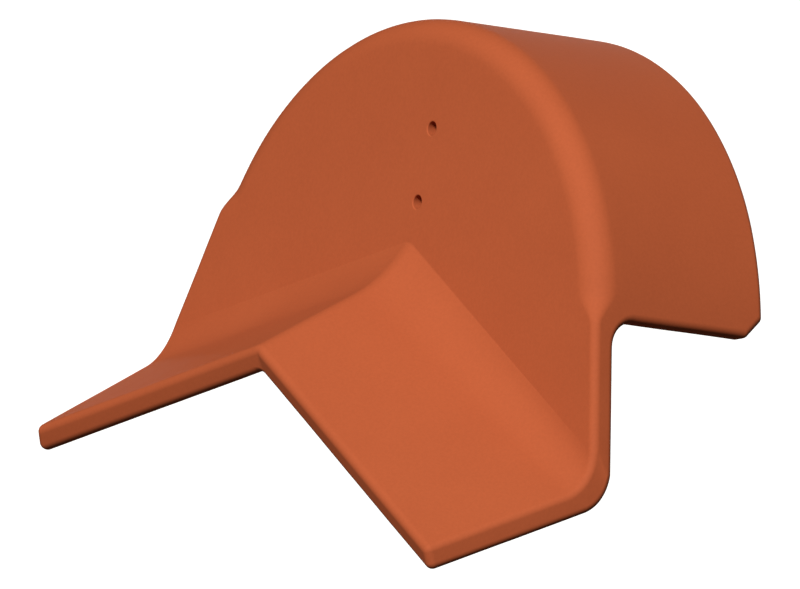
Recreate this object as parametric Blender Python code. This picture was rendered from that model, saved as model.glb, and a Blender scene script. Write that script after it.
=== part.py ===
"""Ridge end cap of fired clay, moulded in one piece.

A barrel like a half-round ridge tile is closed in front by a flat face with two screw holes. Below the springing the
face runs on between leaning sides and turns forward into two sloping wings, which meet in a crest.

Metres, +Z up, the face looks along -Y. All sizes are measured from the arch's centre on the face's front. At the end
the model moves so that its origin lies midway between the screw holes, on the face's back.
"""
import math

import bmesh
import bpy
from mathutils import Matrix, Vector

# The wall, and the rounding of every free edge
WALL = 0.0104
EDGE_ROUNDING = 0.0032

# The arch and the barrel behind the face
ARCH_RADIUS = 0.130
BARREL_DEPTH = 0.0850
SPRING_HEIGHT = 0.0336
CORNER_CUT = 0.0078
FACE_ROUNDING = 0.0110
INNER_FILLET = 0.0110

# The sides of the face, and the crease in which it turns into the wings. Under the crest part of the turn lies in
# the crease itself and the visible side sweeps through the rest. Towards the sides the crease softens until all of
# the turn is in the sweep. The underside turns in one bend.
SIDE_LEAN = math.radians(17.0)
CREASE_APEX = 0.0307
CREASE_SLOPE = math.radians(23.4)
BEND_ANGLE = math.radians(60.9)
CREASE_RISE = 0.0102
CREASE_TURN = math.radians(27.0)
SIDE_CREASE_TURN = 0.0
CREASE_ROUNDING = 0.0020
UNDER_RADIUS = 0.0163

# The wings and the crest between them
WING_REACH = 0.0644
WING_TIP_X = 0.1318
CREST_HALF_WIDTH = 0.0032

# The screw holes through the face
HOLE_RADIUS = 0.0027
HOLE_EDGE = 0.0006
HOLE_HEIGHTS = (0.0570, 0.0866)

# Steps in which the round shapes are made
ARCH_STEPS = 16
FADE_STEPS = 6
ROUND_STEPS = 4
CREASE_STEPS = 2
BEND_STEPS = 6
CORNER_STEPS = 4
HOLE_STEPS = 8

MERGE = 0.00001

BACKWARD = Vector((0.0, 1.0, 0.0))
FORWARD = Vector((0.0, -1.0, 0.0))
SIDE_NORMAL = Vector((math.cos(SIDE_LEAN), 0.0, math.sin(SIDE_LEAN)))
SIDE_DOWN = Vector((math.sin(SIDE_LEAN), 0.0, -math.cos(SIDE_LEAN)))
CREASE_FALL = math.tan(CREASE_SLOPE)
CREASE_LINE = Vector((1.0, 0.0, -CREASE_FALL))

# Distances along the outline: 0 where the arch passes into the straight side, negative up the arch
ARCH_TOP = -ARCH_RADIUS * (math.pi / 2 - SIDE_LEAN)
SPRING = (ARCH_RADIUS * math.sin(SIDE_LEAN) - SPRING_HEIGHT) / math.cos(SIDE_LEAN)

# The rounded ends of the 45 degree corner cut start this far from the barrel's edges
CUT_START = CORNER_CUT + EDGE_ROUNDING * (math.sqrt(2.0) - 1.0)
ARCH_END = min(0.0, SPRING - CUT_START)


class Skin:
    """The surface of half the cap, put together from patches that share their borders."""

    def __init__(self):
        self.bm = bmesh.new()

    def face(self, points):
        self.bm.faces.new([self.bm.verts.new(point) for point in points])

    def grid(self, rows):
        for row, following in zip(rows, rows[1:]):
            for i in range(len(row) - 1):
                self.face((row[i], row[i + 1], following[i + 1], following[i]))

    def mesh(self, name):
        bmesh.ops.remove_doubles(self.bm, verts=self.bm.verts[:], dist=MERGE)
        bmesh.ops.recalc_face_normals(self.bm, faces=self.bm.faces[:])
        mesh = bpy.data.meshes.new(name)
        self.bm.to_mesh(mesh)
        self.bm.free()
        return mesh


def rounding(foot, normal, rim, radius, steps=ROUND_STEPS):
    """A rounded edge: from the foot on one surface, by an arc, to where the edge faces along rim."""
    centre = foot - normal * radius
    return [centre + normal.slerp(rim, i / steps) * radius for i in range(steps + 1)]


def outline(distance):
    """Point and outward normal of the face's outline, on the front plane."""
    if distance >= 0.0:
        return SIDE_NORMAL * ARCH_RADIUS + SIDE_DOWN * distance, SIDE_NORMAL.copy()
    angle = SIDE_LEAN - distance / ARCH_RADIUS
    normal = Vector((math.cos(angle), 0.0, math.sin(angle)))
    return normal * ARCH_RADIUS, normal


def on_wall(distance, back, depth):
    """A point of the barrel's or side's wall, some depth under its outer surface."""
    point, normal = outline(distance)
    return point - normal * depth + BACKWARD * back


def ease(share):
    """Goes from 0 to 1 with a soft start and end."""
    share = min(max(share, 0.0), 1.0)
    return share * share * (3.0 - 2.0 * share)


def front_radius(height):
    """The front rounding is large around the arch and shrinks to the free edge's at the springing."""
    top = SPRING_HEIGHT + FACE_ROUNDING
    bottom = SPRING_HEIGHT - EDGE_ROUNDING
    return EDGE_ROUNDING + (FACE_ROUNDING - EDGE_ROUNDING) * ease((height - bottom) / (top - bottom))


def crease_drop(x):
    """How far crease and wings have dropped at x, with a rounded crest at the middle."""
    if x >= CREST_HALF_WIDTH:
        return CREASE_FALL * x
    return CREASE_FALL * (x * x / CREST_HALF_WIDTH + CREST_HALF_WIDTH) / 2


def on_skirt(x, back, rise):
    """A point of the bend or a wing. back and rise lie across the crease, which runs through 0, 0."""
    return Vector((x, back, CREASE_APEX + rise / math.cos(CREASE_SLOPE) - crease_drop(x)))


def sweep_rows(crease_turn):
    """back, rise and angle turned at each row of the visible side's bend, with this much of the turn in the crease."""
    join_back = CREASE_ROUNDING * (math.cos(crease_turn) - 1.0)
    join_rise = CREASE_RISE - CREASE_ROUNDING * math.sin(crease_turn)
    to_sweep = join_rise * math.sin(BEND_ANGLE) - join_back * math.cos(BEND_ANGLE)
    radius = to_sweep / (1.0 - math.cos(BEND_ANGLE - crease_turn))
    rows = []
    for i in range(CREASE_STEPS):
        angle = crease_turn * i / CREASE_STEPS
        back = CREASE_ROUNDING * (math.cos(angle) - 1.0)
        rows.append((back, CREASE_RISE - CREASE_ROUNDING * math.sin(angle), angle))
    for i in range(BEND_STEPS + 1):
        angle = crease_turn + (BEND_ANGLE - crease_turn) * i / BEND_STEPS
        back = join_back + radius * (math.cos(angle) - math.cos(crease_turn))
        rows.append((back, join_rise - radius * (math.sin(angle) - math.sin(crease_turn)), angle))
    return rows


def under_bend_rows():
    """back, rise and angle turned at each row of the underside's bend, which is flat as far as the crease goes."""
    centre = UNDER_RADIUS - WALL
    rows = []
    for i in range(-CREASE_STEPS, BEND_STEPS + 1):
        angle = BEND_ANGLE * max(i, 0) / BEND_STEPS
        back = UNDER_RADIUS * math.cos(angle) - centre
        rows.append((back, centre * math.tan(BEND_ANGLE / 2) - UNDER_RADIUS * math.sin(angle), angle))
    return rows


def wing_section(reach, depth):
    """back and rise of a wing's section, measured forward from the sharp crease."""
    back = -reach * math.sin(BEND_ANGLE) + depth * math.cos(BEND_ANGLE)
    rise = -reach * math.cos(BEND_ANGLE) - depth * math.sin(BEND_ANGLE)
    return back, rise


def skirt_normal(x, angle):
    """Normal of the visible side where the skirt has turned by angle; level across the crest at x = 0."""
    fall = CREASE_FALL * min(x / CREST_HALF_WIDTH, 1.0)
    across = math.sin(angle) * math.cos(CREASE_SLOPE)
    return Vector((fall * across, -math.cos(angle), across)).normalized()


def inset_side(rise):
    """x of the face's side, where its rounding starts, at a rise above the sharp crease."""
    height = CREASE_APEX + rise / math.cos(CREASE_SLOPE)
    across = math.cos(SIDE_LEAN) - CREASE_FALL * math.sin(SIDE_LEAN)
    return (ARCH_RADIUS - EDGE_ROUNDING - height * math.sin(SIDE_LEAN)) / across


REACH_FOOT = WING_REACH / math.sin(BEND_ANGLE) - EDGE_ROUNDING
FOOT_BACK = wing_section(REACH_FOOT, 0.0)[0]
TIP_FOOT_X = WING_TIP_X - EDGE_ROUNDING / 2
WING_TAPER = (inset_side(0.0) - TIP_FOOT_X) / -FOOT_BACK
WING_SIDE_NORMAL = Vector((1.0, -WING_TAPER, 0.0)).normalized()


def side_x(back, rise):
    """x at which the side's rounding starts anywhere on the skirt's visible side."""
    return inset_side(rise - back / math.tan(BEND_ANGLE)) + WING_TAPER * back


# The stations of skirt_edge at which the bend ends, and at which the wing's tip has turned to the front
BEND_END_STATION = CREASE_STEPS + BEND_STEPS
TIP_STATION = BEND_END_STATION + 1 + CORNER_STEPS


def under_foot(foot, normal, under_normal, rim, section):
    """The foot on the underside, moved along the crease until the rim between both feet faces along rim."""
    start = on_skirt(foot.x, *section)
    gap = start - foot + (normal + under_normal) * EDGE_ROUNDING
    return start - CREASE_LINE * (gap.dot(rim) / CREASE_LINE.dot(rim))


def skirt_edge():
    """Stations along the free edge from the bend to the crest: foot, underside foot, the visible side's normal at
    both, rim."""
    stations = []
    for above, under in zip(sweep_rows(SIDE_CREASE_TURN), under_bend_rows()):
        foot = on_skirt(side_x(*above[:2]), *above[:2])
        normal = skirt_normal(foot.x, above[2])
        under_normal = skirt_normal(foot.x, under[2])
        rim = SIDE_NORMAL.slerp(WING_SIDE_NORMAL, under[2] / BEND_ANGLE)
        below = under_foot(foot, normal, under_normal, rim, under[:2])
        stations.append((foot, below, normal, under_normal, rim))
    section, under = wing_section(REACH_FOOT, 0.0), wing_section(REACH_FOOT, WALL)
    foot = on_skirt(TIP_FOOT_X, *section)
    normal = skirt_normal(foot.x, BEND_ANGLE)
    below = under_foot(foot, normal, normal, WING_SIDE_NORMAL, under)
    front_rim = CREASE_LINE.cross(normal).normalized()
    for i in range(CORNER_STEPS + 1):
        stations.append((foot, below, normal, normal, WING_SIDE_NORMAL.slerp(front_rim, i / CORNER_STEPS)))
    for x in (CREST_HALF_WIDTH, CREST_HALF_WIDTH / 2, 0.0):
        normal = skirt_normal(x, BEND_ANGLE)
        along = Vector((1.0, 0.0, -CREASE_FALL * min(x / CREST_HALF_WIDTH, 1.0)))
        rim = along.cross(normal).normalized()
        stations.append((on_skirt(x, *section), on_skirt(x, *under), normal, normal, rim))
    return stations


def arch_distances():
    return [ARCH_TOP + (ARCH_END - ARCH_TOP) * i / ARCH_STEPS for i in range(ARCH_STEPS + 1)]


def barrel_edge():
    """Stations along the barrel's free edge from the arch's top to the springing: back, distance, rim."""
    rear = BARREL_DEPTH - EDGE_ROUNDING
    stations = [(rear, distance, BACKWARD) for distance in arch_distances()]
    slant = (BACKWARD + SIDE_DOWN).normalized()
    for i in range(CORNER_STEPS + 1):
        stations.append((rear, SPRING - CUT_START, BACKWARD.slerp(slant, i / CORNER_STEPS)))
    for i in range(CORNER_STEPS + 1):
        stations.append((BARREL_DEPTH - CUT_START, SPRING - EDGE_ROUNDING, slant.slerp(SIDE_DOWN, i / CORNER_STEPS)))
    return stations


def springing_fillet(share, radius):
    """back and distance on the fillet between the barrel's lower edge and the face's back."""
    angle = share * math.pi / 2
    back = WALL + INNER_FILLET - radius * math.sin(angle)
    return back, SPRING + INNER_FILLET - radius * math.cos(angle)


def half_hole(height, radius, back):
    """Half a circle around a screw hole, from its foot to its top."""
    turn = [math.pi * (i / HOLE_STEPS - 0.5) for i in range(HOLE_STEPS + 1)]
    return [Vector((radius * math.cos(a), back, height + radius * math.sin(a))) for a in turn]


def crest_columns(back, rise):
    """The three points of a row across the rounded crest, from the middle outwards."""
    return [on_skirt(x, back, rise) for x in (0.0, CREST_HALF_WIDTH / 2, CREST_HALF_WIDTH)]


def without_repeats(points):
    """The points of a border without those that lie on the one before."""
    kept = [points[0]]
    for point in points[1:]:
        if (point - kept[-1]).length > MERGE:
            kept.append(point)
    return kept


def build_half():
    skin = Skin()
    edge = skirt_edge()
    arch = arch_distances()
    below_fade = (ARCH_RADIUS * math.sin(SIDE_LEAN) - SPRING_HEIGHT + EDGE_ROUNDING) / math.cos(SIDE_LEAN)
    straight = [ARCH_END + (below_fade - ARCH_END) * i / FADE_STEPS for i in range(1, FADE_STEPS + 1)]

    # The rounded front edge: arch, leaning side, bend, wing and front
    front = []
    for distance in arch + straight:
        point, normal = outline(distance)
        radius = front_radius(point.z)
        front.append(rounding(point - normal * radius, FORWARD, normal, radius))
    arch_front = front[:len(arch)]
    side_front = front[len(arch) - 1:]
    skirt_front = [rounding(foot, normal, rim, EDGE_ROUNDING) for foot, _, normal, _, rim in edge]
    skin.grid(front + skirt_front)

    # The barrel's free edge, its lower edges and the side's back edge
    barrel = barrel_edge()
    outer, inner = [], []
    for back, distance, rim in barrel:
        normal = outline(distance)[1]
        outer.append(rounding(on_wall(distance, back, 0.0), normal, rim, EDGE_ROUNDING))
        inner.append(rounding(on_wall(distance, back, WALL), -normal, rim, EDGE_ROUNDING))
    fillet_turn = [i / ROUND_STEPS for i in range(ROUND_STEPS + 1)]
    fillet_outer = []
    for share in fillet_turn:
        back, distance = springing_fillet(share, INNER_FILLET + EDGE_ROUNDING)
        rim = SIDE_DOWN.slerp(BACKWARD, share)
        fillet_outer.append(rounding(on_wall(distance, back, 0.0), SIDE_NORMAL, rim, EDGE_ROUNDING))
    skirt_back = [rounding(foot, -normal, rim, EDGE_ROUNDING)[::-1] for _, foot, _, normal, rim in edge]
    skin.grid(outer + fillet_outer + skirt_back)

    # The inner end of the springing's fillet, which turns around the barrel's inner lower edge
    turning = []
    for share in fillet_turn:
        back, distance = springing_fillet(share, INNER_FILLET)
        radius = EDGE_ROUNDING + distance - SPRING
        foot = on_wall(SPRING - EDGE_ROUNDING, back, WALL + distance - SPRING)
        turning.append(rounding(foot, -SIDE_NORMAL, SIDE_DOWN, radius))
    skin.grid(inner + turning)
    skin.grid([(a[-1], b[-1]) for a, b in zip(outer + fillet_outer, inner + turning)])
    skin.grid([(a[-1], b[0]) for a, b in zip(skirt_front, skirt_back)])

    # The barrel's outside and inside, its cheeks below the arch, and the fillet along the face's back
    skin.grid([(a[-1], b[0]) for a, b in zip(arch_front, outer)])
    cheek = [row[-1] for row in side_front + skirt_front[:1]]
    cheek += [row[0] for row in (fillet_outer + skirt_back[:1])[::-1]]
    cheek += [row[0] for row in outer[:len(arch) - 1:-1]] + [outer[len(arch) - 1][0]]
    skin.face(without_repeats(cheek))
    inner_fillet = []
    for distance in arch + [SPRING - EDGE_ROUNDING]:
        row = []
        for share in fillet_turn:
            back, lower = springing_fillet(share, INNER_FILLET)
            row.append(on_wall(distance, back, WALL + lower - SPRING))
        inner_fillet.append(row)
    skin.grid(inner_fillet)
    skin.grid([(a[0], b[0]) for a, b in zip(inner, inner_fillet[:-1])])
    lining = [row[0] for row in inner[len(arch) - 1:]] + [inner_fillet[-1][0], inner_fillet[-2][0]]
    skin.face(without_repeats(lining))

    # The bend, the wings and the crest, above and below
    for depth, bend, column in ((0.0, sweep_rows(CREASE_TURN), 0), (WALL, under_bend_rows(), 1)):
        rows = [crest_columns(*row[:2]) + [edge[i][column]] for i, row in enumerate(bend)]
        skin.grid(rows)
        front_row = crest_columns(*wing_section(REACH_FOOT, depth))
        skin.grid([rows[-1][:-1], front_row])
        skin.face((rows[-1][-2], rows[-1][-1], edge[TIP_STATION][column], front_row[-1]))
        if depth == 0.0:
            border = [row[0] for row in front] + rows[0][::-1]
        else:
            border = [row[-1] for row in inner_fillet] + turning[-1][1:]
            border += [fillet_outer[-1][-1]] + rows[0][::-1]
        for height in HOLE_HEIGHTS:
            border += half_hole(height, HOLE_RADIUS + HOLE_EDGE, depth)
        skin.face(border)

    # The screw holes, with slightly rounded edges
    for height in HOLE_HEIGHTS:
        rings = []
        for share in (0.0, 0.5, 1.0):
            turn = share * math.pi / 2
            radius = HOLE_RADIUS + HOLE_EDGE * (1.0 - math.sin(turn))
            rings.append(half_hole(height, radius, HOLE_EDGE * (1.0 - math.cos(turn))))
        for share in (1.0, 0.5, 0.0):
            turn = share * math.pi / 2
            radius = HOLE_RADIUS + HOLE_EDGE * (1.0 - math.sin(turn))
            rings.append(half_hole(height, radius, WALL - HOLE_EDGE * (1.0 - math.cos(turn))))
        skin.grid(rings)
    return skin.mesh("ridge_end_cap")


def fired_clay():
    material = bpy.data.materials.new("fired_clay")
    material.use_nodes = True
    shader = material.node_tree.nodes["Principled BSDF"]
    shader.inputs["Base Color"].default_value = (0.52, 0.115, 0.042, 1.0)
    shader.inputs["Roughness"].default_value = 0.75
    shader.inputs["Metallic"].default_value = 0.0
    return material


def main():
    for existing in list(bpy.data.objects):
        bpy.data.objects.remove(existing)
    mesh = build_half()
    fixing_point = Vector((0.0, WALL, sum(HOLE_HEIGHTS) / len(HOLE_HEIGHTS)))
    mesh.transform(Matrix.Translation(-fixing_point))
    mesh.shade_smooth()
    mesh.set_sharp_from_angle(angle=math.radians(35.0))
    mesh.materials.append(fired_clay())
    cap = bpy.data.objects.new("ridge_end_cap", mesh)
    bpy.context.scene.collection.objects.link(cap)
    mirror = cap.modifiers.new("other_half", "MIRROR")
    mirror.use_axis = (True, False, False)
    mirror.use_clip = True
    mirror.merge_threshold = MERGE


main()
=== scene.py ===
import math

import bmesh
import bpy
from mathutils import Matrix, Vector, geometry


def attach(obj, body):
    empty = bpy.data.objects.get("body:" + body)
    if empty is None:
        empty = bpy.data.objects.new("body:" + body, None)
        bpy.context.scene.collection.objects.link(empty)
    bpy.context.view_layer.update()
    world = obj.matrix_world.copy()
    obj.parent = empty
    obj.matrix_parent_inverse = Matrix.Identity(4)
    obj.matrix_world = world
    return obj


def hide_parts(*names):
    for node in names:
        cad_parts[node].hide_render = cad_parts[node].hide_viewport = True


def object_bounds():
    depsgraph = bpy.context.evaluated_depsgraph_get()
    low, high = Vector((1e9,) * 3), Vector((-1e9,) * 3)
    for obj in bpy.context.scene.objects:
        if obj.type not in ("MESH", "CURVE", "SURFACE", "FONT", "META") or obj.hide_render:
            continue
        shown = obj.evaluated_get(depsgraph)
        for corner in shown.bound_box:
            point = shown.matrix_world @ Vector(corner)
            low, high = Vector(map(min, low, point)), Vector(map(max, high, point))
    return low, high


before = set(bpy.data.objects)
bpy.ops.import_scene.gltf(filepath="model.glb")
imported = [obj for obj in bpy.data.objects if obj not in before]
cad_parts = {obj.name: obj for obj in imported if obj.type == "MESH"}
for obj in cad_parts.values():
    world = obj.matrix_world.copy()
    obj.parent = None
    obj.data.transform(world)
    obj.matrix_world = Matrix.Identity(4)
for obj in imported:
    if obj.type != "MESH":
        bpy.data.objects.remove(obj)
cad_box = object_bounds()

# The wall, and the rounding of every free edge
WALL = 0.0104
EDGE_ROUNDING = 0.0032

# The arch and the barrel behind the face
ARCH_RADIUS = 0.130
BARREL_DEPTH = 0.0850
SPRING_HEIGHT = 0.0336
CORNER_CUT = 0.0078
FACE_ROUNDING = 0.0110
INNER_FILLET = 0.0110

# The sides of the face, and the crease in which it turns into the wings. Under the crest part of the turn
# lies in the crease itself and the visible side sweeps through the rest. Towards the sides the crease softens
# until all of the turn is in the sweep. The underside turns in one bend.
SIDE_LEAN = math.radians(17.0)
CREASE_APEX = 0.0307
CREASE_SLOPE = math.radians(23.4)
BEND_ANGLE = math.radians(60.9)
CREASE_RISE = 0.0102
CREASE_TURN = math.radians(27.0)
SIDE_CREASE_TURN = 0.0
CREASE_ROUNDING = 0.0020
UNDER_RADIUS = 0.0163

# The wings and the crest between them
WING_REACH = 0.0644
WING_TIP_X = 0.1318
CREST_HALF_WIDTH = 0.0032

# The screw holes through the face
HOLE_RADIUS = 0.0027
HOLE_EDGE = 0.0006
HOLE_HEIGHTS = (0.0570, 0.0866)

# Steps in which the round shapes are made, and the turns of the rows around a hole's rounded edge
ARCH_STEPS = 56
FADE_STEPS = 14
ROUND_STEPS = 10
CREASE_STEPS = 5
BEND_STEPS = 16
CORNER_STEPS = 8
HOLE_STEPS = 24
CREST_STEPS = 5
HOLE_EDGE_STEPS = 4
HOLE_EDGE_TURNS = [i / HOLE_EDGE_STEPS * math.pi / 2 for i in range(HOLE_EDGE_STEPS + 1)]
CREST_COLUMNS = [CREST_HALF_WIDTH * i / CREST_STEPS for i in range(CREST_STEPS + 1)]

# The mesh is fine enough for the clay's slight unevenness. On the flat places its points stand in even
# triangles: ROW_SHARE is the distance between two rows of points as a share of their spacing.
GRAIN_SPACING = 0.0040
ROW_SHARE = 0.866
BORDER_GAP = GRAIN_SPACING * 0.55
LONGEST_EDGE = GRAIN_SPACING * 1.5
REFINE_ROUNDS = 5
MERGE = 0.00001
TOUCHING = 1e-7

# The unevenness that pressing and firing leave: height and length of its broad and its fine waves
BROAD_HEIGHT = 0.0004
BROAD_LENGTH = 0.045
FINE_HEIGHT = 0.00007
FINE_LENGTH = 0.011
RELIEF_SEED = 3.0

# The clay's patterns, each with its size, its fine detail and its roughness
MOTTLE = (0.05, 4.0, 0.6)
SPECKS = (0.0012, 2.0, 0.5)
PORES = (0.0009, 3.0, 0.7)

# The clay's colour where it fired darker and lighter, in linear light, and what its specks multiply it by.
# Before each colour stands the pattern's value at which it is reached.
CLAY_DARK = (0.25, (0.397, 0.0845, 0.0300, 1.0))
CLAY_LIGHT = (0.75, (0.418, 0.0905, 0.0322, 1.0))
SPECK_DARK = (0.30, (0.97, 0.97, 0.97, 1.0))
SPECK_LIGHT = (0.72, (1.03, 1.03, 1.03, 1.0))
PORE_STRENGTH = 0.15
PORE_DEPTH = 0.0001
SMOOTHEST = 0.70
ROUGHEST = 0.88
SHINE = 0.14

# The camera stands where the photograph's did: a long lens, slightly above, and rolled
TURN = math.radians(52.369)
RAISE = math.radians(4.152)
ROLL = math.radians(11.203)
LENS = 1200.0
SENSOR = 36.0
FRAME_WIDTH = 0.80 / 2.5387
AIM = (-0.0176871, -0.0497292)
FARTHEST_SEEN = 100.0

# The plain pale floor lies well below the cap, so that no shadow crosses the picture
FLOOR_DROP = 0.12
FLOOR_HALF_WIDTH = 30.0
FLOOR_COLOUR = (0.92, 0.92, 0.92, 1.0)
FLOOR_GLOW = 0.45
FLOOR_REFLECTED = (0.08, 0.08, 0.08, 1.0)

# Soft studio light: one broad lamp from the front right and a weak one from behind
KEY_DIRECTION = Vector((0.45, -0.735, 0.53))
KEY_STRENGTH = 4.36
KEY_WIDTH = math.radians(12.0)
KEY_COLOUR = (1.0, 0.98, 0.92)
FILL_DIRECTION = Vector((-0.55, 0.80, 0.04))
FILL_STRENGTH = 1.7
FILL_WIDTH = math.radians(60.0)
FILL_COLOUR = (1.0, 0.98, 0.95)

# White surroundings, as the camera sees them and as they light the cap
WHITE = (1.0, 1.0, 1.0, 1.0)
SEEN_STRENGTH = 1.05
SURROUND_COLOUR = (0.95, 0.97, 1.0, 1.0)
SURROUND_STRENGTH = 0.03

BACKWARD = Vector((0.0, 1.0, 0.0))
FORWARD = Vector((0.0, -1.0, 0.0))
SIDE_NORMAL = Vector((math.cos(SIDE_LEAN), 0.0, math.sin(SIDE_LEAN)))
SIDE_DOWN = Vector((math.sin(SIDE_LEAN), 0.0, -math.cos(SIDE_LEAN)))
CREASE_FALL = math.tan(CREASE_SLOPE)
CREASE_LINE = Vector((1.0, 0.0, -CREASE_FALL))

# Distances along the outline: 0 where the arch passes into the straight side, negative up the arch
ARCH_TOP = -ARCH_RADIUS * (math.pi / 2 - SIDE_LEAN)
SPRING = (ARCH_RADIUS * math.sin(SIDE_LEAN) - SPRING_HEIGHT) / math.cos(SIDE_LEAN)

# The rounded ends of the 45 degree corner cut start this far from the barrel's edges
CUT_START = CORNER_CUT + EDGE_ROUNDING * (math.sqrt(2.0) - 1.0)
ARCH_END = min(0.0, SPRING - CUT_START)


class Skin:
    """The surface of half the cap, put together from patches that share their borders."""

    def __init__(self):
        self.bm = bmesh.new()

    def face(self, points):
        self.bm.faces.new([self.bm.verts.new(point) for point in points])

    def grid(self, rows):
        for row, following in zip(rows, rows[1:]):
            for i in range(len(row) - 1):
                self.face((row[i], row[i + 1], following[i + 1], following[i]))

    def flat(self, border):
        """Fills a flat border with small triangles, so that the clay's slight unevenness can show on it."""
        centre = sum(border, Vector()) / len(border)
        normal = Vector()
        for a, b in zip(border, border[1:] + border[:1]):
            normal += (a - centre).cross(b - centre)
        normal.normalize()
        across = (border[1] - border[0]).normalized()
        along = normal.cross(across)
        outline_2d = [Vector(((p - centre).dot(across), (p - centre).dot(along))) for p in border]
        inner = []
        low = [min(p[i] for p in outline_2d) for i in (0, 1)]
        high = [max(p[i] for p in outline_2d) for i in (0, 1)]
        rows = int((high[1] - low[1]) / (GRAIN_SPACING * ROW_SHARE)) + 1
        columns = int((high[0] - low[0]) / GRAIN_SPACING) + 1
        for j in range(rows):
            for i in range(columns):
                x = low[0] + (i + 0.5 * (j % 2)) * GRAIN_SPACING
                y = low[1] + j * GRAIN_SPACING * ROW_SHARE
                if inside(outline_2d, x, y) and away_from(outline_2d, x, y, BORDER_GAP):
                    inner.append(Vector((x, y)))
        points = outline_2d + inner
        ring = list(range(len(border)))
        made, _, triangles, origins, _, _ = geometry.delaunay_2d_cdt(points, [], [ring], 1, TOUCHING)
        places = []
        for point, origin in zip(made, origins):
            if origin and origin[0] < len(border):
                places.append(border[origin[0]])
            else:
                places.append(centre + across * point.x + along * point.y)
        for triangle in triangles:
            self.face([places[i] for i in triangle])

    def whole(self, name):
        """Both halves as one closed mesh with faces small enough for the relief."""
        bm = self.bm
        bmesh.ops.remove_doubles(bm, verts=bm.verts[:], dist=MERGE)
        half = bm.verts[:] + bm.edges[:] + bm.faces[:]
        copy = bmesh.ops.duplicate(bm, geom=half)["geom"]
        for vertex in copy:
            if isinstance(vertex, bmesh.types.BMVert):
                vertex.co.x = -vertex.co.x
        bmesh.ops.remove_doubles(bm, verts=bm.verts[:], dist=MERGE)
        for _ in range(REFINE_ROUNDS):
            long_edges = [edge for edge in bm.edges if edge.calc_length() > LONGEST_EDGE]
            bmesh.ops.subdivide_edges(bm, edges=long_edges, cuts=1, use_grid_fill=True)
            bmesh.ops.triangulate(bm, faces=[face for face in bm.faces if len(face.verts) > 4])
        # A point on an edge that no other edge reaches could fold the faces beside it, so it goes
        bmesh.ops.dissolve_verts(bm, verts=[vertex for vertex in bm.verts if len(vertex.link_edges) == 2])
        bmesh.ops.recalc_face_normals(bm, faces=bm.faces[:])
        mesh = bpy.data.meshes.new(name)
        bm.to_mesh(mesh)
        bm.free()
        return mesh


def inside(outline_2d, x, y):
    """Whether a point lies inside a closed outline."""
    within = False
    for a, b in zip(outline_2d, outline_2d[1:] + outline_2d[:1]):
        if (a.y > y) != (b.y > y) and x < a.x + (b.x - a.x) * (y - a.y) / (b.y - a.y):
            within = not within
    return within


def away_from(outline_2d, x, y, gap):
    """Whether a point keeps a gap from every side of an outline."""
    point = Vector((x, y))
    for a, b in zip(outline_2d, outline_2d[1:] + outline_2d[:1]):
        nearest, share = geometry.intersect_point_line(point, a, b)
        nearest = a if share < 0.0 else b if share > 1.0 else nearest
        if (point - nearest.xy).length < gap:
            return False
    return True


def rounding(foot, normal, rim, radius):
    """A rounded edge: from the foot on one surface, by an arc, to where the edge faces along rim."""
    centre = foot - normal * radius
    return [centre + normal.slerp(rim, i / ROUND_STEPS) * radius for i in range(ROUND_STEPS + 1)]


def outline(distance):
    """Point and outward normal of the face's outline, on the front plane."""
    if distance >= 0.0:
        return SIDE_NORMAL * ARCH_RADIUS + SIDE_DOWN * distance, SIDE_NORMAL.copy()
    angle = SIDE_LEAN - distance / ARCH_RADIUS
    normal = Vector((math.cos(angle), 0.0, math.sin(angle)))
    return normal * ARCH_RADIUS, normal


def on_wall(distance, back, depth):
    """A point of the barrel's or side's wall, some depth under its outer surface."""
    point, normal = outline(distance)
    return point - normal * depth + BACKWARD * back


def ease(share):
    """Goes from 0 to 1 with a soft start and end."""
    share = min(max(share, 0.0), 1.0)
    return share * share * (3.0 - 2.0 * share)


def front_radius(height):
    """The front rounding is large around the arch and shrinks to the free edge's at the springing."""
    top = SPRING_HEIGHT + FACE_ROUNDING
    bottom = SPRING_HEIGHT - EDGE_ROUNDING
    return EDGE_ROUNDING + (FACE_ROUNDING - EDGE_ROUNDING) * ease((height - bottom) / (top - bottom))


def crease_drop(x):
    """How far crease and wings have dropped at x, with a rounded crest at the middle."""
    if x >= CREST_HALF_WIDTH:
        return CREASE_FALL * x
    return CREASE_FALL * (x * x / CREST_HALF_WIDTH + CREST_HALF_WIDTH) / 2


def on_skirt(x, back, rise):
    """A point of the bend or a wing. back and rise lie across the crease, which runs through 0, 0."""
    return Vector((x, back, CREASE_APEX + rise / math.cos(CREASE_SLOPE) - crease_drop(x)))


def sweep_rows(crease_turn):
    """back, rise and angle turned at each row of the visible side's bend.

    crease_turn is the part of the turn that lies in the crease.
    """
    join_back = CREASE_ROUNDING * (math.cos(crease_turn) - 1.0)
    join_rise = CREASE_RISE - CREASE_ROUNDING * math.sin(crease_turn)
    to_sweep = join_rise * math.sin(BEND_ANGLE) - join_back * math.cos(BEND_ANGLE)
    radius = to_sweep / (1.0 - math.cos(BEND_ANGLE - crease_turn))
    rows = []
    for i in range(CREASE_STEPS):
        angle = crease_turn * i / CREASE_STEPS
        back = CREASE_ROUNDING * (math.cos(angle) - 1.0)
        rows.append((back, CREASE_RISE - CREASE_ROUNDING * math.sin(angle), angle))
    for i in range(BEND_STEPS + 1):
        angle = crease_turn + (BEND_ANGLE - crease_turn) * i / BEND_STEPS
        back = join_back + radius * (math.cos(angle) - math.cos(crease_turn))
        rows.append((back, join_rise - radius * (math.sin(angle) - math.sin(crease_turn)), angle))
    return rows


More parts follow.
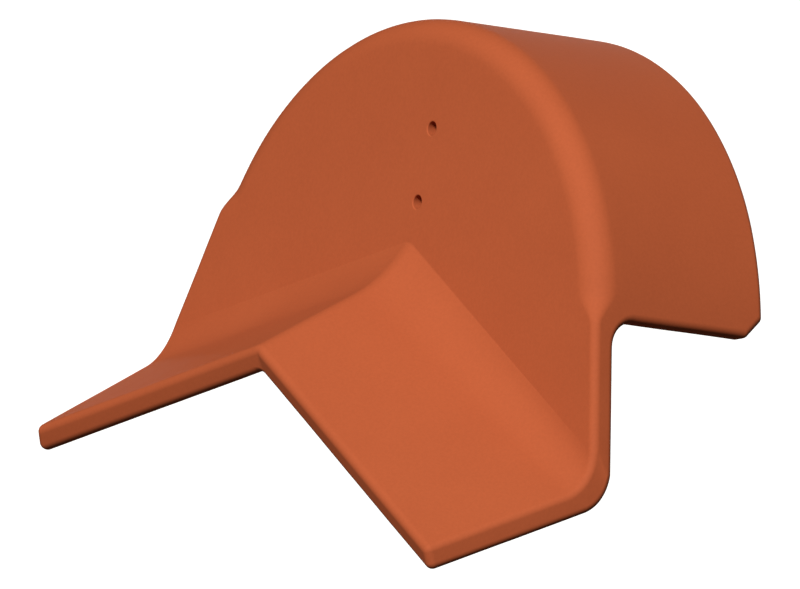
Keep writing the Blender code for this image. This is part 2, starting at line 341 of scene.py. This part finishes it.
def under_bend_rows():
    """back, rise and angle turned at each row of the underside's bend.

    It is flat as far as the crease goes.
    """
    centre = UNDER_RADIUS - WALL
    rows = []
    for i in range(-CREASE_STEPS, BEND_STEPS + 1):
        angle = BEND_ANGLE * max(i, 0) / BEND_STEPS
        back = UNDER_RADIUS * math.cos(angle) - centre
        rows.append((back, centre * math.tan(BEND_ANGLE / 2) - UNDER_RADIUS * math.sin(angle), angle))
    return rows


def wing_section(reach, depth):
    """back and rise of a wing's section, measured forward from the sharp crease."""
    back = -reach * math.sin(BEND_ANGLE) + depth * math.cos(BEND_ANGLE)
    rise = -reach * math.cos(BEND_ANGLE) - depth * math.sin(BEND_ANGLE)
    return back, rise


def skirt_normal(x, angle):
    """Normal of the visible side where the skirt has turned by angle; level across the crest at x = 0."""
    fall = CREASE_FALL * min(x / CREST_HALF_WIDTH, 1.0)
    across = math.sin(angle) * math.cos(CREASE_SLOPE)
    return Vector((fall * across, -math.cos(angle), across)).normalized()


def inset_side(rise):
    """x of the face's side, where its rounding starts, at a rise above the sharp crease."""
    height = CREASE_APEX + rise / math.cos(CREASE_SLOPE)
    across = math.cos(SIDE_LEAN) - CREASE_FALL * math.sin(SIDE_LEAN)
    return (ARCH_RADIUS - EDGE_ROUNDING - height * math.sin(SIDE_LEAN)) / across


REACH_FOOT = WING_REACH / math.sin(BEND_ANGLE) - EDGE_ROUNDING
FOOT_BACK = wing_section(REACH_FOOT, 0.0)[0]
TIP_FOOT_X = WING_TIP_X - EDGE_ROUNDING / 2
WING_TAPER = (inset_side(0.0) - TIP_FOOT_X) / -FOOT_BACK
WING_SIDE_NORMAL = Vector((1.0, -WING_TAPER, 0.0)).normalized()


def side_x(back, rise):
    """x at which the side's rounding starts anywhere on the skirt's visible side."""
    return inset_side(rise - back / math.tan(BEND_ANGLE)) + WING_TAPER * back


# The stations of skirt_edge at which the bend ends, and at which the wing's tip has turned to the front
BEND_END_STATION = CREASE_STEPS + BEND_STEPS
TIP_STATION = BEND_END_STATION + 1 + CORNER_STEPS


def under_foot(foot, normal, under_normal, rim, section):
    """The foot on the underside, moved along the crease until the rim between both feet faces along rim."""
    start = on_skirt(foot.x, *section)
    gap = start - foot + (normal + under_normal) * EDGE_ROUNDING
    return start - CREASE_LINE * (gap.dot(rim) / CREASE_LINE.dot(rim))


def skirt_edge():
    """Stations along the free edge from the bend to the crest.

    Each has the foot, the underside's foot, the visible side's normal at both, and the rim.
    """
    stations = []
    for above, under in zip(sweep_rows(SIDE_CREASE_TURN), under_bend_rows()):
        foot = on_skirt(side_x(*above[:2]), *above[:2])
        normal = skirt_normal(foot.x, above[2])
        under_normal = skirt_normal(foot.x, under[2])
        rim = SIDE_NORMAL.slerp(WING_SIDE_NORMAL, under[2] / BEND_ANGLE)
        below = under_foot(foot, normal, under_normal, rim, under[:2])
        stations.append((foot, below, normal, under_normal, rim))
    section, under = wing_section(REACH_FOOT, 0.0), wing_section(REACH_FOOT, WALL)
    foot = on_skirt(TIP_FOOT_X, *section)
    normal = skirt_normal(foot.x, BEND_ANGLE)
    below = under_foot(foot, normal, normal, WING_SIDE_NORMAL, under)
    front_rim = CREASE_LINE.cross(normal).normalized()
    for i in range(CORNER_STEPS + 1):
        stations.append((foot, below, normal, normal, WING_SIDE_NORMAL.slerp(front_rim, i / CORNER_STEPS)))
    for x in CREST_COLUMNS[::-1]:
        normal = skirt_normal(x, BEND_ANGLE)
        along = Vector((1.0, 0.0, -CREASE_FALL * min(x / CREST_HALF_WIDTH, 1.0)))
        rim = along.cross(normal).normalized()
        stations.append((on_skirt(x, *section), on_skirt(x, *under), normal, normal, rim))
    return stations


def arch_distances():
    """Distances along the outline from the arch's top to its end."""
    return [ARCH_TOP + (ARCH_END - ARCH_TOP) * i / ARCH_STEPS for i in range(ARCH_STEPS + 1)]


def barrel_edge():
    """Stations along the barrel's free edge from the arch's top to the springing: back, distance, rim."""
    rear = BARREL_DEPTH - EDGE_ROUNDING
    stations = [(rear, distance, BACKWARD) for distance in arch_distances()]
    slant = (BACKWARD + SIDE_DOWN).normalized()
    for i in range(CORNER_STEPS + 1):
        stations.append((rear, SPRING - CUT_START, BACKWARD.slerp(slant, i / CORNER_STEPS)))
    for i in range(CORNER_STEPS + 1):
        rim = slant.slerp(SIDE_DOWN, i / CORNER_STEPS)
        stations.append((BARREL_DEPTH - CUT_START, SPRING - EDGE_ROUNDING, rim))
    return stations


def springing_fillet(share, radius):
    """back and distance on the fillet between the barrel's lower edge and the face's back."""
    angle = share * math.pi / 2
    back = WALL + INNER_FILLET - radius * math.sin(angle)
    return back, SPRING + INNER_FILLET - radius * math.cos(angle)


def half_hole(height, radius, back):
    """Half a circle around a screw hole, from its foot to its top."""
    turn = [math.pi * (i / HOLE_STEPS - 0.5) for i in range(HOLE_STEPS + 1)]
    return [Vector((radius * math.cos(a), back, height + radius * math.sin(a))) for a in turn]


def crest_columns(back, rise):
    """The points of a row across the rounded crest, from the middle outwards."""
    return [on_skirt(x, back, rise) for x in CREST_COLUMNS]


def without_repeats(points):
    """The points of a border without those that lie on the one before."""
    kept = [points[0]]
    for point in points[1:]:
        if (point - kept[-1]).length > MERGE:
            kept.append(point)
    return kept


def cap_mesh():
    """Half the cap, patch by patch, and then the whole from both halves."""
    skin = Skin()
    edge = skirt_edge()
    arch = arch_distances()
    below_fade = (ARCH_RADIUS * math.sin(SIDE_LEAN) - SPRING_HEIGHT + EDGE_ROUNDING) / math.cos(SIDE_LEAN)
    straight = [ARCH_END + (below_fade - ARCH_END) * i / FADE_STEPS for i in range(1, FADE_STEPS + 1)]

    # The rounded front edge: arch, leaning side, bend, wing and front
    front = []
    for distance in arch + straight:
        point, normal = outline(distance)
        radius = front_radius(point.z)
        front.append(rounding(point - normal * radius, FORWARD, normal, radius))
    arch_front = front[:len(arch)]
    side_front = front[len(arch) - 1:]
    skirt_front = [rounding(foot, normal, rim, EDGE_ROUNDING) for foot, _, normal, _, rim in edge]
    skin.grid(front + skirt_front)

    # The barrel's free edge, its lower edges and the side's back edge
    barrel = barrel_edge()
    outer, inner = [], []
    for back, distance, rim in barrel:
        normal = outline(distance)[1]
        outer.append(rounding(on_wall(distance, back, 0.0), normal, rim, EDGE_ROUNDING))
        inner.append(rounding(on_wall(distance, back, WALL), -normal, rim, EDGE_ROUNDING))
    fillet_turn = [i / ROUND_STEPS for i in range(ROUND_STEPS + 1)]
    fillet_outer = []
    for share in fillet_turn:
        back, distance = springing_fillet(share, INNER_FILLET + EDGE_ROUNDING)
        rim = SIDE_DOWN.slerp(BACKWARD, share)
        fillet_outer.append(rounding(on_wall(distance, back, 0.0), SIDE_NORMAL, rim, EDGE_ROUNDING))
    skirt_back = [rounding(foot, -normal, rim, EDGE_ROUNDING)[::-1] for _, foot, _, normal, rim in edge]
    skin.grid(outer + fillet_outer + skirt_back)

    # The inner end of the springing's fillet, which turns around the barrel's inner lower edge
    turning = []
    for share in fillet_turn:
        back, distance = springing_fillet(share, INNER_FILLET)
        radius = EDGE_ROUNDING + distance - SPRING
        foot = on_wall(SPRING - EDGE_ROUNDING, back, WALL + distance - SPRING)
        turning.append(rounding(foot, -SIDE_NORMAL, SIDE_DOWN, radius))
    skin.grid(inner + turning)
    skin.grid([(a[-1], b[-1]) for a, b in zip(outer + fillet_outer, inner + turning)])
    skin.grid([(a[-1], b[0]) for a, b in zip(skirt_front, skirt_back)])

    # The barrel's outside and inside, its cheeks below the arch, and the fillet along the face's back
    skin.grid([(a[-1], b[0]) for a, b in zip(arch_front, outer)])
    cheek = [row[-1] for row in side_front + skirt_front[:1]]
    cheek += [row[0] for row in (fillet_outer + skirt_back[:1])[::-1]]
    cheek += [row[0] for row in outer[:len(arch) - 1:-1]] + [outer[len(arch) - 1][0]]
    skin.face(without_repeats(cheek))
    inner_fillet = []
    for distance in arch + [SPRING - EDGE_ROUNDING]:
        row = []
        for share in fillet_turn:
            back, lower = springing_fillet(share, INNER_FILLET)
            row.append(on_wall(distance, back, WALL + lower - SPRING))
        inner_fillet.append(row)
    skin.grid(inner_fillet)
    skin.grid([(a[0], b[0]) for a, b in zip(inner, inner_fillet[:-1])])
    lining = [row[0] for row in inner[len(arch) - 1:]] + [inner_fillet[-1][0], inner_fillet[-2][0]]
    skin.face(without_repeats(lining))

    # The bend, the wings and the crest, above and below
    for depth, bend, column in ((0.0, sweep_rows(CREASE_TURN), 0), (WALL, under_bend_rows(), 1)):
        rows = [crest_columns(*row[:2]) + [edge[i][column]] for i, row in enumerate(bend)]
        skin.grid(rows)
        front_row = crest_columns(*wing_section(REACH_FOOT, depth))
        skin.grid([rows[-1][:-1], front_row])
        skin.flat([rows[-1][-2], rows[-1][-1], edge[TIP_STATION][column], front_row[-1]])
        if depth == 0.0:
            border = [row[0] for row in front] + rows[0][::-1]
        else:
            border = [row[-1] for row in inner_fillet] + turning[-1][1:]
            border += [fillet_outer[-1][-1]] + rows[0][::-1]
        for height in HOLE_HEIGHTS:
            border += half_hole(height, HOLE_RADIUS + HOLE_EDGE, depth)
        skin.flat(without_repeats(border))

    # The screw holes, with slightly rounded edges
    mouth = []
    for turn in HOLE_EDGE_TURNS:
        mouth.append((HOLE_RADIUS + HOLE_EDGE * (1.0 - math.sin(turn)), HOLE_EDGE * (1.0 - math.cos(turn))))
    for height in HOLE_HEIGHTS:
        rings = [half_hole(height, radius, back) for radius, back in mouth]
        rings += [half_hole(height, radius, WALL - back) for radius, back in mouth[::-1]]
        skin.grid(rings)
    return skin.whole("pressed_cap")


def link(tree, source, target):
    tree.links.new(source, target)


def node(tree, kind, **values):
    """A node of a kind, with its properties set by attribute and its inputs by name."""
    made = tree.nodes.new(kind)
    for name, value in values.items():
        if hasattr(made, name):
            setattr(made, name, value)
        else:
            made.inputs[name.replace("_", " ")].default_value = value
    return made


def reckoned(tree, operation, first, second):
    """The result of a sum, whose two sides are plain numbers or other nodes' outputs."""
    made = node(tree, "ShaderNodeMath", operation=operation)
    for side, value in zip(made.inputs, (first, second)):
        if isinstance(value, float):
            side.default_value = value
        else:
            link(tree, value, side)
    return made.outputs[0]


def pressed_relief():
    """The slight unevenness that pressing and firing leave in a clay surface."""
    tree = bpy.data.node_groups.new("pressed_relief", "GeometryNodeTree")
    tree.interface.new_socket(name="Geometry", in_out="INPUT", socket_type="NodeSocketGeometry")
    for name in ("Broad height", "Broad length", "Fine height", "Fine length", "Seed"):
        tree.interface.new_socket(name=name, in_out="INPUT", socket_type="NodeSocketFloat")
    tree.interface.new_socket(name="Clay", in_out="INPUT", socket_type="NodeSocketMaterial")
    tree.interface.new_socket(name="Geometry", in_out="OUTPUT", socket_type="NodeSocketGeometry")
    taken = tree.nodes.new("NodeGroupInput").outputs
    given = tree.nodes.new("NodeGroupOutput")
    place = tree.nodes.new("GeometryNodeInputPosition")
    outward = tree.nodes.new("GeometryNodeInputNormal")
    waves = []
    for height, length in (("Broad height", "Broad length"), ("Fine height", "Fine length")):
        noise = node(tree, "ShaderNodeTexNoise", noise_dimensions="4D", Detail=1.0)
        link(tree, place.outputs["Position"], noise.inputs["Vector"])
        link(tree, taken["Seed"], noise.inputs["W"])
        link(tree, reckoned(tree, "DIVIDE", 1.0, taken[length]), noise.inputs["Scale"])
        centred = reckoned(tree, "SUBTRACT", noise.outputs["Fac"], 0.5)
        waves.append(reckoned(tree, "MULTIPLY", centred, taken[height]))
    offset = node(tree, "ShaderNodeVectorMath", operation="SCALE")
    link(tree, outward.outputs["Normal"], offset.inputs[0])
    link(tree, reckoned(tree, "ADD", *waves), offset.inputs["Scale"])
    moved = tree.nodes.new("GeometryNodeSetPosition")
    link(tree, taken["Geometry"], moved.inputs["Geometry"])
    link(tree, offset.outputs[0], moved.inputs["Offset"])
    real = tree.nodes.new("GeometryNodeRealizeInstances")
    link(tree, moved.outputs["Geometry"], real.inputs["Geometry"])
    painted = tree.nodes.new("GeometryNodeSetMaterial")
    link(tree, real.outputs["Geometry"], painted.inputs["Geometry"])
    link(tree, taken["Clay"], painted.inputs["Material"])
    link(tree, painted.outputs["Geometry"], given.inputs["Geometry"])
    return tree


def clay_body():
    """The clay's patterns: soft mottling from firing, sandy specks and fine pores."""
    tree = bpy.data.node_groups.new("clay_body", "ShaderNodeTree")
    patterns = {"Mottle": MOTTLE, "Specks": SPECKS, "Pores": PORES}
    for name, (size, _, _) in patterns.items():
        socket = tree.interface.new_socket(name=name + " size", in_out="INPUT", socket_type="NodeSocketFloat")
        socket.default_value = size
        tree.interface.new_socket(name=name, in_out="OUTPUT", socket_type="NodeSocketFloat")
    taken = tree.nodes.new("NodeGroupInput").outputs
    given = tree.nodes.new("NodeGroupOutput")
    place = tree.nodes.new("ShaderNodeTexCoord").outputs["Object"]
    for name, (_, detail, roughness) in patterns.items():
        noise = node(tree, "ShaderNodeTexNoise", Detail=detail, Roughness=roughness)
        link(tree, place, noise.inputs["Vector"])
        link(tree, reckoned(tree, "DIVIDE", 1.0, taken[name + " size"]), noise.inputs["Scale"])
        link(tree, noise.outputs["Fac"], given.inputs[name])
    return tree


def shades(tree, pattern, dark, light):
    """Colours between two shades, along a pattern's values."""
    ramp = node(tree, "ShaderNodeValToRGB")
    for element, (position, colour) in zip(ramp.color_ramp.elements, (dark, light)):
        element.position = position
        element.color = colour
    link(tree, pattern, ramp.inputs["Fac"])
    return ramp.outputs["Color"]


def terracotta():
    """Matte fired clay, a little darker and lighter from place to place, with faint specks and pores."""
    material = bpy.data.materials.new("terracotta")
    material.use_nodes = True
    tree = material.node_tree
    shader = tree.nodes["Principled BSDF"]
    shader.inputs["Specular IOR Level"].default_value = SHINE
    shader.inputs["Metallic"].default_value = 0.0
    clay = tree.nodes.new("ShaderNodeGroup")
    clay.node_tree = clay_body()

    # The two colours to multiply are the sockets 6 and 7, and the product is the output 2
    fired = shades(tree, clay.outputs["Mottle"], CLAY_DARK, CLAY_LIGHT)
    sandy = shades(tree, clay.outputs["Specks"], SPECK_DARK, SPECK_LIGHT)
    colour = node(tree, "ShaderNodeMix", data_type="RGBA", blend_type="MULTIPLY")
    colour.inputs[0].default_value = 1.0
    link(tree, fired, colour.inputs[6])
    link(tree, sandy, colour.inputs[7])
    link(tree, colour.outputs[2], shader.inputs["Base Color"])

    matte = node(tree, "ShaderNodeMapRange", To_Min=SMOOTHEST, To_Max=ROUGHEST)
    link(tree, clay.outputs["Mottle"], matte.inputs["Value"])
    link(tree, matte.outputs["Result"], shader.inputs["Roughness"])

    bump = node(tree, "ShaderNodeBump", Strength=PORE_STRENGTH, Distance=PORE_DEPTH)
    link(tree, clay.outputs["Pores"], bump.inputs["Height"])
    link(tree, bump.outputs["Normal"], shader.inputs["Normal"])
    return material


def place_in_scene(name, content):
    """An object of this name in the scene."""
    made = bpy.data.objects.new(name, content)
    bpy.context.scene.collection.objects.link(made)
    return made


def make_cap():
    """The cap as one fine mesh, pressed relief included, in the frame's place."""
    mesh = cap_mesh()
    fixing_point = Vector((0.0, WALL, sum(HOLE_HEIGHTS) / len(HOLE_HEIGHTS)))
    mesh.transform(Matrix.Translation(-fixing_point))
    mesh.shade_smooth()
    raw = place_in_scene("raw_cap", mesh)
    relief = raw.modifiers.new("relief", "NODES")
    relief.node_group = pressed_relief()
    values = {"Broad height": BROAD_HEIGHT, "Broad length": BROAD_LENGTH, "Fine height": FINE_HEIGHT,
              "Fine length": FINE_LENGTH, "Seed": RELIEF_SEED, "Clay": terracotta()}
    for item in relief.node_group.interface.items_tree:
        if item.in_out == "INPUT" and item.name in values:
            relief[item.identifier] = values[item.name]
    even = raw.modifiers.new("even_shading", "WEIGHTED_NORMAL")
    even.mode = "FACE_AREA"
    even.keep_sharp = True
    solid = raw.evaluated_get(bpy.context.evaluated_depsgraph_get())
    finished = bpy.data.meshes.new_from_object(solid)
    finished.name = "fired_clay_cap"
    bpy.data.objects.remove(raw)
    cap = place_in_scene("fired_clay_cap", finished)
    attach(cap, "root")
    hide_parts("ridge_end_cap")


def make_camera():
    """The camera, turned and rolled around its line of sight."""
    toward = Vector((math.sin(TURN) * math.cos(RAISE), -math.cos(TURN) * math.cos(RAISE), math.sin(RAISE)))
    level = Vector((math.cos(TURN), math.sin(TURN), 0.0))
    upward = toward.cross(level)
    right = level * math.cos(ROLL) + upward * math.sin(ROLL)
    up = upward * math.cos(ROLL) - level * math.sin(ROLL)
    lens = bpy.data.cameras.new("camera")
    lens.lens = LENS
    lens.sensor_width = SENSOR
    lens.clip_end = FARTHEST_SEEN
    camera = place_in_scene("camera", lens)
    camera.matrix_world = Matrix((right, up, toward)).transposed().to_4x4()
    camera.location = right * AIM[0] + up * AIM[1] + toward * (FRAME_WIDTH * LENS / SENSOR)
    bpy.context.scene.camera = camera
    bpy.context.scene.view_settings.view_transform = "Standard"


def seen_and_lit(tree, seen, lit, surface):
    """Shows the first shader to the camera and lets the second one light the cap."""
    rays = tree.nodes.new("ShaderNodeLightPath")
    mix = tree.nodes.new("ShaderNodeMixShader")
    link(tree, rays.outputs["Is Camera Ray"], mix.inputs[0])
    link(tree, lit.outputs[0], mix.inputs[1])
    link(tree, seen.outputs[0], mix.inputs[2])
    link(tree, mix.outputs[0], surface)


def make_floor():
    """A plain pale floor, whose light on the cap is weak."""
    mesh = bpy.data.meshes.new("floor")
    height = cad_box[0].z - FLOOR_DROP
    wide = FLOOR_HALF_WIDTH
    corners = [(-wide, -wide, height), (wide, -wide, height), (wide, wide, height), (-wide, wide, height)]
    mesh.from_pydata(corners, [], [(0, 1, 2, 3)])
    floor = place_in_scene("floor", mesh)
    pale = bpy.data.materials.new("pale_floor")
    pale.use_nodes = True
    tree = pale.node_tree
    seen = tree.nodes["Principled BSDF"]
    seen.inputs["Base Color"].default_value = FLOOR_COLOUR
    seen.inputs["Roughness"].default_value = 1.0
    seen.inputs["Specular IOR Level"].default_value = 0.0
    seen.inputs["Emission Color"].default_value = WHITE
    seen.inputs["Emission Strength"].default_value = FLOOR_GLOW
    lit = node(tree, "ShaderNodeBsdfDiffuse", Color=FLOOR_REFLECTED)
    seen_and_lit(tree, seen, lit, tree.nodes["Material Output"].inputs["Surface"])
    mesh.materials.append(pale)


def make_lamp(name, direction, strength, width, colour):
    """A far lamp, whose light comes from a direction and from a disc this wide."""
    light = bpy.data.lights.new(name, "SUN")
    light.energy = strength
    light.angle = width
    light.color = colour
    place_in_scene(name, light).rotation_euler = direction.to_track_quat("Z", "Y").to_euler()


def make_surroundings():
    """White all around for the camera, and a dim even light for the cap."""
    world = bpy.data.worlds.new("surroundings")
    bpy.context.scene.world = world
    world.use_nodes = True
    tree = world.node_tree
    seen = tree.nodes["Background"]
    seen.inputs["Color"].default_value = WHITE
    seen.inputs["Strength"].default_value = SEEN_STRENGTH
    lit = node(tree, "ShaderNodeBackground", Color=SURROUND_COLOUR, Strength=SURROUND_STRENGTH)
    seen_and_lit(tree, seen, lit, tree.nodes["World Output"].inputs["Surface"])


make_cap()
make_camera()
make_floor()
make_lamp("key", KEY_DIRECTION, KEY_STRENGTH, KEY_WIDTH, KEY_COLOUR)
make_lamp("fill", FILL_DIRECTION, FILL_STRENGTH, FILL_WIDTH, FILL_COLOUR)
make_surroundings()
